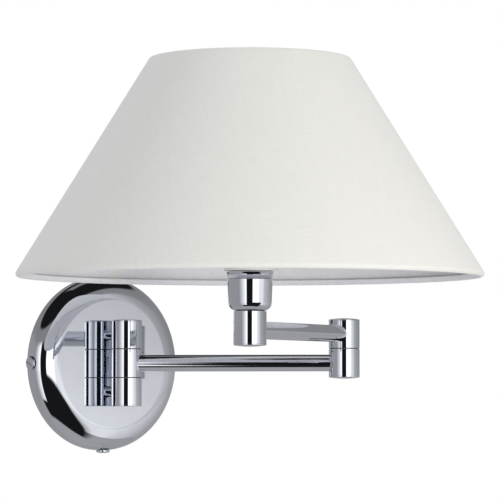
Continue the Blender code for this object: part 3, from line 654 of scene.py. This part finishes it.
def cup():
    """A spun cup: a round foot, a slightly tapered wall and a turned-over lip."""
    bore, radius, low, high = measure("socket_cup", LAMP_AXIS)
    round_middle = (radius - CUP_TAPER - CUP_ROUND, low + CUP_ROUND)
    outer = arc(round_middle, CUP_ROUND, CUP_ROUND, -90, 0, 20)
    inner = arc(round_middle, CUP_ROUND - CUP_WALL, CUP_ROUND - CUP_WALL, 0, -90, 12)
    lip = [Vector((radius, high - EDGE)), Vector((radius - EDGE, high)), Vector((radius - CUP_WALL, high))]
    floor = [Vector((bore, low + CUP_WALL)), Vector((bore, low))]
    outline = outer + lip + inner + floor
    lathe("socket_cup_spun", outline, "chrome", "arm_2", ["socket_cup"], LAMP_AXIS)
    cup_collar(radius, high)


def cup_collar(cup_radius, cup_top):
    """A ring whose lower half sits in the cup's mouth and whose upper half flares out above it."""
    bore, radius, low, high = measure("cup_collar", LAMP_AXIS)
    seat = cup_top + COLLAR_GAP
    inside = cup_radius - CUP_WALL - COLLAR_GAP
    outline = filleted([
        (bore, low, COLLAR_INNER_EDGE),
        (inside, low, COLLAR_INNER_EDGE),
        (inside, seat, COLLAR_INNER_EDGE),
        (cup_radius, seat, COLLAR_EDGE),
        (cup_radius, seat + COLLAR_NECK, COLLAR_FLARE_ROUND),
        (radius, high - COLLAR_RIM, COLLAR_INNER_EDGE),
        (radius, high, COLLAR_EDGE),
        (bore, high, COLLAR_EDGE),
    ])
    lathe("cup_collar_turned", outline, "chrome", "arm_2", ["cup_collar"], LAMP_AXIS)


THREAD_PITCH_OUTER = 1.6 * MM
THREAD_DEPTH = 0.22 * MM
THREAD_STARTS = 3.0 * MM  # above the sleeve's flange
THREAD_ENDS = 1.5 * MM  # below the sleeve's mouth
THREAD_ROWS = 90
SLEEVE_BASE_R = 11.6 * MM
SLEEVE_WELL_R = 9.2 * MM
SLEEVE_WELL_FLOOR = 49.0 * MM
SLEEVE_EDGE = 0.4 * MM
FLANGE_EDGE = 0.2 * MM
FLANGE_GAP = 0.3 * MM  # between the collar and the sleeve's flange
WALL_STARTS = 0.6 * MM  # above the flange
RING_EDGE = 0.35 * MM
OUTER_BAND = 0.3 * MM  # points this near the outer radius belong to the outer wall


def ripple(angle):
    """0 to 1 and back, once a turn."""
    return 0.5 + 0.5 * math.cos(angle)


def sleeve_thread(low, high, radius):
    """Helical ripple of the sleeve's outer thread, which fades at both ends."""
    def shift(turn, point):
        if abs(point.x - radius) > OUTER_BAND:
            return 0.0
        up = (point.y - low) / THREAD_PITCH_OUTER
        down = (high - point.y) / THREAD_PITCH_OUTER
        fade = max(0.0, min(1.0, up, down))
        return -THREAD_DEPTH * fade * ripple(turn - 2 * math.pi * point.y / THREAD_PITCH_OUTER)
    return shift


def sleeve():
    """The porcelain holder: a plain base, a threaded outer wall and a well for the lamp."""
    node = "lampholder_body"
    bore, radius, low, high = measure(node, LAMP_AXIS)
    flange = measure("cup_collar", LAMP_AXIS)[3] + FLANGE_GAP
    lower = filleted([
        (bore, low, SLEEVE_EDGE),
        (SLEEVE_BASE_R, low, SLEEVE_EDGE),
        (SLEEVE_BASE_R, flange, FLANGE_EDGE),
        (radius, flange, FLANGE_EDGE),
        (radius, high, 0.0),
    ], 5)[:-1]
    upper = filleted([
        (radius, high, SLEEVE_EDGE),
        (SLEEVE_WELL_R, high, SLEEVE_EDGE),
        (SLEEVE_WELL_R, SLEEVE_WELL_FLOOR, SLEEVE_EDGE),
        (bore, SLEEVE_WELL_FLOOR, SLEEVE_EDGE),
        (bore, low, 0.0),
        (radius, low, 0.0),
    ], 5)[:-2]
    start = Vector((radius, flange + WALL_STARTS))
    end = Vector((radius, high - SLEEVE_EDGE))
    wall = [start.lerp(end, k / THREAD_ROWS) for k in range(THREAD_ROWS + 1)]
    shift = sleeve_thread(flange + THREAD_STARTS, high - THREAD_ENDS, radius)
    outline = lower + wall + upper
    lathe("lampholder_sleeve", outline, "porcelain", "arm_2", [node], LAMP_AXIS, steps=96, shift=shift)


def lampholder():
    sleeve()
    turned_ring("lampholder_shell", "brass", "arm_2", LAMP_AXIS, edge=0.2 * MM, steps=96)
    ring_nut()
    turned_ring("shade_fitter_ring", "white_wire", "arm_2", LAMP_AXIS, edge=RING_EDGE)


NUT_RIBS = 36
NUT_RIB_DEPTH = 0.25 * MM
NUT_STEPS = 8 * NUT_RIBS


def ring_nut():
    """Clamping ring with finger ribs round its edge."""
    node = "shade_ring_nut"
    bore, radius, low, high = measure(node, LAMP_AXIS)

    def shift(turn, point):
        on_edge = point.x > radius - OUTER_BAND
        return -NUT_RIB_DEPTH * ripple(NUT_RIBS * turn) if on_edge else 0.0

    outline = ring_outline(bore, radius, low, high, RING_EDGE)
    lathe(f"{node}_ribbed", outline, "porcelain", "arm_2", [node], LAMP_AXIS, steps=NUT_STEPS, shift=shift)


BULB_NECK_R = 7.2 * MM
BULB_NECK_EDGE = 0.6 * MM
BULB_BELLY_SHARE = 0.4  # of the glass's height, from its foot to its widest level
BULB_TAPER = 1.9  # a larger power keeps the belly full for longer
BULB_TIP = 0.75  # a larger power makes the tip more pointed
BULB_LOWER_ROWS = 24
BULB_UPPER_ROWS = 32


def bulb():
    """Candle-shaped glass: a neck that swells to the belly, then a taper to a soft tip."""
    _, radius, low, high = measure("bulb_glass", LAMP_AXIS)
    neck = low + BULB_NECK_EDGE
    belly = low + BULB_BELLY_SHARE * (high - low)
    outline = [Vector((0.0, low)), Vector((BULB_NECK_R - BULB_NECK_EDGE, low)), Vector((BULB_NECK_R, neck))]
    for k in range(1, BULB_LOWER_ROWS + 1):
        share = k / BULB_LOWER_ROWS
        swell = 1 - ripple(math.pi * share)
        outline.append(Vector((BULB_NECK_R + (radius - BULB_NECK_R) * swell, neck + (belly - neck) * share)))
    for k in range(1, BULB_UPPER_ROWS):
        share = k / BULB_UPPER_ROWS
        reach = radius * (1 - share**BULB_TAPER) ** BULB_TIP
        outline.append(Vector((reach, belly + (high - belly) * share)))
    outline.append(Vector((0.0, high)))
    lathe("bulb_glass_blown", outline, "opal_glass", "arm_2", ["bulb_glass"], LAMP_AXIS, steps=96)


# ---- shade ---------------------------------------------------------------------------------------
WIRE_GAP = 0.25 * MM
COVER = 0.8 * MM  # thickness of the cover, cloth and lamination together
CLOTH = 0.45 * MM  # its outer part, which is the sheet's own thickness
LOW_HEM_WIRE = 1.1 * MM  # radius that the cloth is rolled round
TOP_HEM_WIRE = 1.0 * MM
HEM_WRAP = 175  # degrees of the roll, from the cone's side to either end
HEM_TURN_IN = 2.6 * MM
HEM_ROWS = 3
HEM_INSIDE = 0.4 * (LOW_HEM_WIRE + WIRE_GAP + COVER)  # faces further in than this take the liner finish, painted glow included
SIDE_ROWS = 26
LAP_WIDTH = 12.0 * MM
LAP_RISE = 0.35 * MM
LAP_BLEND = 0.8 * MM  # across which the lap's edge steps down
HEM_REACH = 4.0 * MM  # how far the hem's unevenness reaches into the cone
HEM_WAVE = 0.035 * MM
HEM_WAVES = ((23, 1.0, 0.0), (41, 0.6, 1.3), (67, 0.4, 0.4))  # waves round the hem, strength, phase
FILM = 0.3 * MM
FILM_GAP = 0.05 * MM
FILM_ROWS = (0.012, 0.3, 0.6, 0.988)  # shares of the way up the cone's side, clear of both hems
WIRE_SIDES = 12
SHADE_STEPS = 360
SHADE_PLACE = axis_frame(LAMP_AXIS, UP) @ Matrix.Rotation(math.pi, 4, "Z")  # the turn starts at the wall side


def ring_of(node):
    """(ring radius, level, wire radius) of a wire ring."""
    inner, outer, low, high = measure(node, LAMP_AXIS)
    return (inner + outer) / 2, (low + high) / 2, (high - low) / 2


def wire_ring(node):
    radius, level, wire = ring_of(node)
    outline = arc((radius, level), wire, wire, 0, 360 - 360 / WIRE_SIDES, WIRE_SIDES - 1)
    lathe(f"{node}_round", outline, "white_wire", "arm_2", [node], LAMP_AXIS, steps=192)


def cone_side(lower, slope, side, low_off, top_off):
    """Points up the cone between its hems, at an offset from the line that joins the two wires."""
    points = []
    for k in range(1, SIDE_ROWS):
        offset = low_off + (top_off - low_off) * k / SIDE_ROWS
        points.append(lower + slope * k / SIDE_ROWS + side * offset)
    return points


def cover_outline(lower, upper, slope, side, lean):
    """The cloth's section: up the outside, round the top wire, down the inside and round the bottom wire."""
    out_low = LOW_HEM_WIRE + WIRE_GAP + COVER
    out_top = TOP_HEM_WIRE + WIRE_GAP + COVER
    in_low = out_low - CLOTH
    in_top = out_top - CLOTH
    step = slope * (HEM_TURN_IN / slope.length) / HEM_ROWS
    inwards = range(1, HEM_ROWS + 1)
    outwards = range(HEM_ROWS, 0, -1)
    return (
        arc(lower, out_low, out_low, lean - HEM_WRAP, lean, 16)
        + cone_side(lower, slope, side, out_low, out_top)
        + arc(upper, out_top, out_top, lean, lean + HEM_WRAP, 14)
        + [upper - step * k - side * out_top for k in inwards]
        + [upper - step * k - side * in_top for k in outwards]
        + arc(upper, in_top, in_top, lean + HEM_WRAP, lean, 12)
        + cone_side(lower, slope, side, in_low, in_top)[::-1]
        + arc(lower, in_low, in_low, lean, lean - HEM_WRAP, 14)
        + [lower + step * k - side * in_low for k in inwards]
        + [lower + step * k - side * out_low for k in outwards]
    )


def shade():
    low_r, low_z, _ = ring_of("shade_bottom_wire")
    top_r, top_z, _ = ring_of("shade_top_wire")
    lower = Vector((low_r, low_z))
    upper = Vector((top_r, top_z))
    slope = upper - lower
    lean = math.degrees(math.atan2(low_r - top_r, top_z - low_z))
    side = Vector((math.cos(math.radians(lean)), math.sin(math.radians(lean))))
    apex_share = math.sin(math.radians(lean))

    def rise(turn, point):
        """The lap seam's second layer, at the wall side, and a slight unevenness at the rolled hems."""
        away = min(turn, 2 * math.pi - turn) * point.x
        lap = max(0.0, min(1.0, (LAP_WIDTH / 2 - away) / LAP_BLEND))
        near_hem = sum(math.exp(-(((point.y - level) / HEM_REACH) ** 2)) for level in (low_z, top_z))
        wave = sum(strength * math.sin(count * turn + phase) for count, strength, phase in HEM_WAVES)
        outside = (point - lower).dot(side) > 0
        return (LAP_RISE * lap if outside else 0.0) + HEM_WAVE * near_hem * wave

    def cloth_uv(turn, point):
        """Where the point lies on the flat cut, in metres, so that the threads run straight across it."""
        reach = point.x / apex_share
        flat = turn * apex_share
        return reach * math.cos(flat), reach * math.sin(flat)

    outline = cover_outline(lower, upper, slope, side, lean)
    mesh = lathe_mesh("shade_fabric_cover", outline, SHADE_PLACE, SHADE_STEPS, rise, cloth_uv)
    cover = link("shade_fabric_cover", mesh, "shade_fabric", "arm_2", ["shade_cover"])
    mesh.materials.append(FINISHES["liner"])
    # The turned-in hem faces take the liner finish, so they carry its painted glow.
    for face in mesh.polygons:
        reach = (face.center - LAMP_AXIS).xy.length
        offset = Vector((reach, face.center.z)) - lower
        turned_in = offset.dot(side) < -HEM_INSIDE and face.center.z < (low_z + top_z) / 2
        face.material_index = 1 if turned_in else 0

    # The lining takes the liner finish and with it the painted glow.
    film = LOW_HEM_WIRE + WIRE_GAP + COVER - CLOTH - FILM_GAP
    outside = [lower + slope * share + side * film for share in FILM_ROWS]
    inside = [lower + slope * share + side * (film - FILM) for share in FILM_ROWS[::-1]]
    outline = outside + inside
    lathe("shade_lining", outline, "liner", "arm_2", [], LAMP_AXIS, steps=SHADE_STEPS)


SPOKE_END = 1.2 * MM  # points this near a rod's end belong to its end face
SPOKE_TIP = 0.6 * MM


def average(points):
    return sum(points, Vector()) / len(points)


def spokes():
    """Three rods from the fitter ring to the top wire, with rounded ends."""
    for k in (1, 2, 3):
        node = f"shade_spoke_{k}"
        corners = [corner.co for corner in frame["nodes"][node].data.vertices]
        low = min(corner.z for corner in corners)
        high = max(corner.z for corner in corners)
        foot = average([corner for corner in corners if corner.z < low + SPOKE_END])
        head = average([corner for corner in corners if corner.z > high - SPOKE_END])
        along = (head - foot).normalized()
        _, radius, start, end = measure(node, foot, along)
        lower_tip = arc((0.0, start + SPOKE_TIP), radius, SPOKE_TIP, -90, 0, 6)
        upper_tip = arc((0.0, end - SPOKE_TIP), radius, SPOKE_TIP, 0, 90, 6)
        lower_tip[0].x = 0.0
        upper_tip[-1].x = 0.0
        lathe(f"{node}_rod", lower_tip + upper_tip, "white_wire", "arm_2", [node], foot, along, steps=24)


# ---- CAD pieces that stay ------------------------------------------------------------------------
def finish_cad_nodes():
    """Pieces that stay, hidden or at the rear, keep their CAD mesh and get soft edges and finishes."""
    slots = {row["node"]: row["material_slot"] for row in frame["record"]["subparts"]}
    for name, node in frame["nodes"].items():
        node.data.materials.clear()
        node.data.materials.append(FINISHES[slots[name]])
        if node.hide_render or name.startswith("lead_"):
            continue
        soften_edges(node, 0.12 * MM, sharper_than=50)


# ---- light ---------------------------------------------------------------------------------------
BRIGHTEST = 1.6  # the softbox; every mirrored level is stored as a share of it

# What polished metal mirrors, band by band. Each band holds pairs of (degrees to the right of the camera's
# direction, level): dark gaps at the camera, a tall softbox to its right, grey sides.
LEVEL_BAND = (
    (-180, 0.36), (-168, 0.40), (-163, 0.95), (-158, 0.95), (-153, 0.36), (-58, 0.34), (-44, 0.66),
    (-26, 1.2), (-18.6, 1.5), (-17.8, 0.008), (13.5, 0.008), (15.0, 1.6), (44, 1.5), (50, 1.0), (70, 1.0),
    (72.3, 0.96), (74.2, 0.80), (80, 0.62), (116, 0.44), (180, 0.36),
)
LOW_FRONT_BAND = (
    (-180, 0.36), (-58, 0.34), (-44, 0.60), (-24, 1.1), (-19.4, 1.3), (-18.9, 0.01), (58, 0.01), (70, 0.40),
    (180, 0.36),
)
DEEP_FRONT_BAND = ((-180, 0.36), (-50, 0.36), (-44, 0.01), (58, 0.01), (70, 0.40), (180, 0.36))
LOW_SIDE_BAND = ((-180, 0.38), (-20, 0.38), (-16, 0.01), (132, 0.01), (142, 0.38), (180, 0.38))
BRIGHT_SIDE_BAND = (
    (-180, 0.38), (60, 0.38), (66, 0.90), (73, 0.92), (80, 0.74), (100, 0.55), (125, 0.40), (180, 0.38),
)
BACK_TOP_BAND = ((-180, 0.22), (180, 0.22))
# The back top band shows only where both of these do.
BEHIND = ((-180, 1.0), (-140.4, 1.0), (-133.2, 0.0), (133.2, 0.0), (140.4, 1.0), (180, 1.0))
OVERHEAD = ((-90, 0.0), (60, 0.0), (66, 1.0), (90, 1.0))
# The same by height, where no band covers it: (degrees above the horizon, level).
SKY_BY_HEIGHT = ((-90, 0.40), (-10, 0.38), (4, 0.34), (26, 0.27), (35, 0.25), (38.5, 0.01), (90, 0.01))
# How strongly each band shows, by height: the degrees between which it fades in, then out.
LEVEL_HEIGHTS = (-9, -6, 17, 23)
FRONT_HEIGHTS = (-40, -37, -2, 0)
DEEP_HEIGHTS = (-62, -57, -39, -36)
SIDE_HEIGHTS = (-60, -56, -37, -34)
BRIGHT_SIDE_HEIGHTS = (-37, -34, -9, -6)
FAR_RIGHT = 60  # degrees; beyond it the level band darkens above the horizon, and the bright side starts
FAR_RIGHT_FALL = ((-90, 1.0), (-1.0, 1.0), (1.8, 0.68), (90, 0.68))
# What lights the cloth, a little warm at the right and cool at the back.
SOFT_SKY = (
    (-180, (0.77, 0.77, 0.81)),
    (-60, (0.71, 0.715, 0.72)),
    (0, (0.72, 0.725, 0.71)),
    (60, (0.80, 0.79, 0.77)),
    (180, (0.77, 0.77, 0.81)),
)


def blend(tree, factor, first, second):
    made = add_node(tree, "ShaderNodeMix", data_type="RGBA")
    tree.links.new(factor, made.inputs["Factor"])
    tree.links.new(first, made.inputs["A"])
    tree.links.new(second, made.inputs["B"])
    return made.outputs["Result"]


def directions(tree):
    """Where a ray goes, as two shares: of the way round from behind, and of the way up from straight down."""
    direction = add_node(tree, "ShaderNodeTexCoord").outputs["Generated"]
    parts = []
    for axis in (CAMERA_RIGHT, TO_CAMERA):
        made = add_node(tree, "ShaderNodeVectorMath", {0: direction, 1: axis}, operation="DOT_PRODUCT")
        parts.append(made.outputs["Value"])
    height = add_node(tree, "ShaderNodeSeparateXYZ", {0: direction}).outputs["Z"]
    around = maths(tree, "MULTIPLY_ADD", maths(tree, "ARCTAN2", *parts), 0.5 / math.pi, 0.5)
    above = maths(tree, "MULTIPLY_ADD", maths(tree, "ARCSINE", height), 1 / math.pi, 0.5)
    return around, above


def mirrored_sky(tree, around, above):
    """The sky that glossy surfaces see, as shares of BRIGHTEST."""
    def by_angle(stops):
        return ramp(tree, around, [((angle + 180) / 360, value) for angle, value in stops])

    def turn(band):
        return by_angle([(angle, level / BRIGHTEST) for angle, level in band])

    def by_height(stops):
        return ramp(tree, above, [((angle + 90) / 180, value) for angle, value in stops])

    def mask(heights):
        low, full, still_full, high = heights
        return by_height([(-90, 0.0), (low, 0.0), (full, 1.0), (still_full, 1.0), (high, 0.0), (90, 0.0)])

    far_right = maths(tree, "GREATER_THAN", around, (FAR_RIGHT + 180) / 360)
    dimmed = add_node(tree, "ShaderNodeMix", {"Factor": far_right}, data_type="FLOAT")
    dimmed.inputs["A"].default_value = 1.0
    tree.links.new(by_height(FAR_RIGHT_FALL), dimmed.inputs["B"])
    scaled = {0: turn(LEVEL_BAND), 1: dimmed.outputs[0]}
    level = add_node(tree, "ShaderNodeVectorMath", scaled, operation="MULTIPLY").outputs[0]
    back_top = maths(tree, "MULTIPLY", by_angle(BEHIND), by_height(OVERHEAD))
    sky = by_height([(angle, share / BRIGHTEST) for angle, share in SKY_BY_HEIGHT])
    sky = blend(tree, mask(SIDE_HEIGHTS), sky, turn(LOW_SIDE_BAND))
    sky = blend(tree, back_top, sky, turn(BACK_TOP_BAND))
    sky = blend(tree, mask(DEEP_HEIGHTS), sky, turn(DEEP_FRONT_BAND))
    sky = blend(tree, mask(FRONT_HEIGHTS), sky, turn(LOW_FRONT_BAND))
    bright_side = maths(tree, "MULTIPLY", mask(BRIGHT_SIDE_HEIGHTS), far_right)
    sky = blend(tree, bright_side, sky, turn(BRIGHT_SIDE_BAND))
    return blend(tree, mask(LEVEL_HEIGHTS), sky, level)


def make_world():
    """A white studio. Polished metal mirrors dark gaps, a softbox and grey sides, cloth gets an even soft
    light, and the camera sees a white background."""
    world = bpy.data.worlds.new("studio")
    world.use_nodes = True
    bpy.context.scene.world = world
    tree = world.node_tree
    tree.nodes.clear()
    around, above = directions(tree)
    mirrored = mirrored_sky(tree, around, above)
    soft = ramp(tree, around, [((angle + 180) / 360, colour) for angle, colour in SOFT_SKY])
    path = add_node(tree, "ShaderNodeLightPath")
    skies = []
    for colour, strength in ((mirrored, BRIGHTEST), (soft, 1.0), ((1, 1, 1, 1), 1.0)):
        made = add_node(tree, "ShaderNodeBackground", {"Color": colour, "Strength": strength})
        skies.append(made.outputs[0])
    seen, cloth, white = skies
    lit = mix_shaders(tree, path.outputs["Is Glossy Ray"], cloth, seen)
    shown = mix_shaders(tree, path.outputs["Is Camera Ray"], lit, white)
    add_node(tree, "ShaderNodeOutputWorld", {"Surface": shown})


def area_light(name, place, aim, size, power, colour):
    data = bpy.data.lights.new(name, "AREA")
    data.shape = "DISK"
    data.size = size
    data.energy = power
    data.color = colour
    made = bpy.data.objects.new(name, data)
    bpy.context.scene.collection.objects.link(made)
    made.location = place
    made.rotation_euler = (aim - place).to_track_quat("-Z", "Y").to_euler()
    made.visible_glossy = False
    made.visible_camera = False


FLOOR_LEVEL = -1.5  # the usual height of a bedside or reading lamp above the floor
FLOOR_REACH = 6.0
WARM_LIGHT_PLACE = LAMP_AXIS + CAMERA_RIGHT * 0.5 + TO_CAMERA * 0.75 - UP * 0.12
WARM_LIGHT_AIM = LAMP_AXIS + CAMERA_RIGHT * 0.06 + UP * 0.02
WARM_LIGHT_SIZE = 0.35
WARM_LIGHT_WATTS = 2.9
WARM_LIGHT_COLOUR = (1.0, 0.94, 0.87)


def floor_material():
    """Pale and matt from above, and clear from below, so that a view from under the lamp shows it."""
    made, tree, shader, place = new_material("pale_floor")
    grain = noise(tree, place, scale=30.0, detail=4.0)
    colour_by(tree, shader, grain, dark=(0.84, 0.84, 0.84), light=(0.87, 0.87, 0.87))
    set_up(shader, Roughness=0.8)
    below = add_node(tree, "ShaderNodeNewGeometry").outputs["Backfacing"]
    clear = add_node(tree, "ShaderNodeBsdfTransparent").outputs[0]
    mixed = mix_shaders(tree, below, shader.outputs[0], clear)
    tree.links.new(mixed, tree.nodes["Material Output"].inputs["Surface"])
    return made


def make_stage():
    builder = bmesh.new()
    bmesh.ops.create_grid(builder, x_segments=2, y_segments=2, size=FLOOR_REACH)
    mesh = bpy.data.meshes.new("floor")
    builder.to_mesh(mesh)
    builder.free()
    mesh.materials.append(floor_material())
    floor = bpy.data.objects.new("floor", mesh)
    bpy.context.scene.collection.objects.link(floor)
    floor.location = (0.0, 0.0, FLOOR_LEVEL)
    floor.visible_glossy = False
    light = (WARM_LIGHT_SIZE, WARM_LIGHT_WATTS, WARM_LIGHT_COLOUR)
    area_light("warm_side", WARM_LIGHT_PLACE, WARM_LIGHT_AIM, *light)


make_camera()
make_world()
backplate()
side_screws()
stems()
knuckles()
arms()
cup()
lampholder()
bulb()
wire_ring("shade_bottom_wire")
wire_ring("shade_top_wire")
shade()
spokes()
finish_cad_nodes()
make_stage()
bpy.context.scene.view_settings.view_transform = "Standard"
